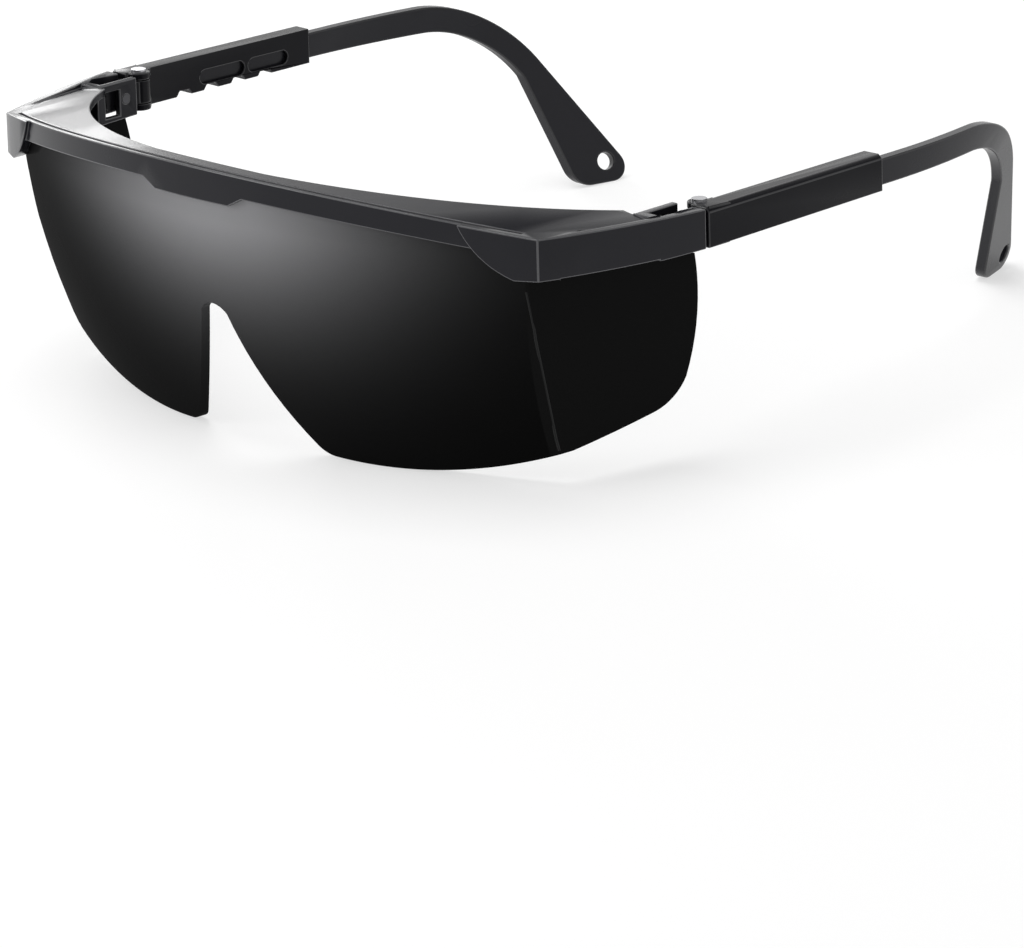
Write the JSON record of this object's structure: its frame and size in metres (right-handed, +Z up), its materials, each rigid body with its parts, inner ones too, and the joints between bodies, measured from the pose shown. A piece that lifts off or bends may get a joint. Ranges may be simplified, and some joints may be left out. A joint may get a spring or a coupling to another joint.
{
  "type": "welding goggles",
  "caption": "Dark wrap-around welding goggles: one-piece lens with side shields under a brow bar, tilting, folding temples and sliding ear pieces.",
  "frame": {"origin": "middle of the bounding box's bottom face, on the table that the goggles stand on", "axes": "+X to the wearer's left, +Y from the lens back along the temples, +Z up from the table"},
  "size_m": [0.1572, 0.1595, 0.056],
  "materials": {
    "frame_plastic": "satin black nylon, moulded",
    "lens_dark": "polished, near-black polycarbonate welding shade",
    "sleeve_plastic": "satin black nylon, moulded",
    "ear_plastic": "soft satin black nylon, moulded",
    "block_plastic": "black acetal",
    "pin_steel": "bright steel"
  },
  "bodies": {
    "root": {"frame": "frame_plastic", "lens": "lens_dark", "tilt_pin_left": "pin_steel", "tilt_pin_right": "pin_steel"},
    "tilt_block_left": {"tilt_block_left": "block_plastic", "hinge_pin_left": "pin_steel"},
    "temple_left": {"temple_sleeve_left": "sleeve_plastic"},
    "ear_piece_left": {"ear_piece_left": "ear_plastic"},
    "tilt_block_right": {"tilt_block_right": "block_plastic", "hinge_pin_right": "pin_steel"},
    "temple_right": {"temple_sleeve_right": "sleeve_plastic"},
    "ear_piece_right": {"ear_piece_right": "ear_plastic"}
  },
  "joints": [
    {"name": "tilt_left", "type": "hinge", "parent": "root", "child": "tilt_block_left", "pos_m": [0.07365, -0.03159, 0.04365], "axis": [1, 0, 0], "range_deg": [-8, 8]},
    {"name": "fold_left", "type": "hinge", "parent": "tilt_block_left", "child": "temple_left", "pos_m": [0.07365, -0.02531, 0.04319], "axis": [0, 0.073, 0.9973], "range_deg": [0, 90]},
    {"name": "length_left", "type": "slide", "parent": "temple_left", "child": "ear_piece_left", "axis": [-0.0279, 0.9969, -0.073], "range_m": [-0.0069, 0.0138]},
    {"name": "tilt_right", "type": "hinge", "parent": "root", "child": "tilt_block_right", "pos_m": [-0.07365, -0.03159, 0.04365], "axis": [1, 0, 0], "range_deg": [-8, 8]},
    {"name": "fold_right", "type": "hinge", "parent": "tilt_block_right", "child": "temple_right", "pos_m": [-0.07365, -0.02531, 0.04319], "axis": [0, 0.073, 0.9973], "range_deg": [-78, 0]},
    {"name": "length_right", "type": "slide", "parent": "temple_right", "child": "ear_piece_right", "axis": [0.0279, 0.9969, -0.073], "range_m": [-0.0069, 0.0138]}
  ]
}
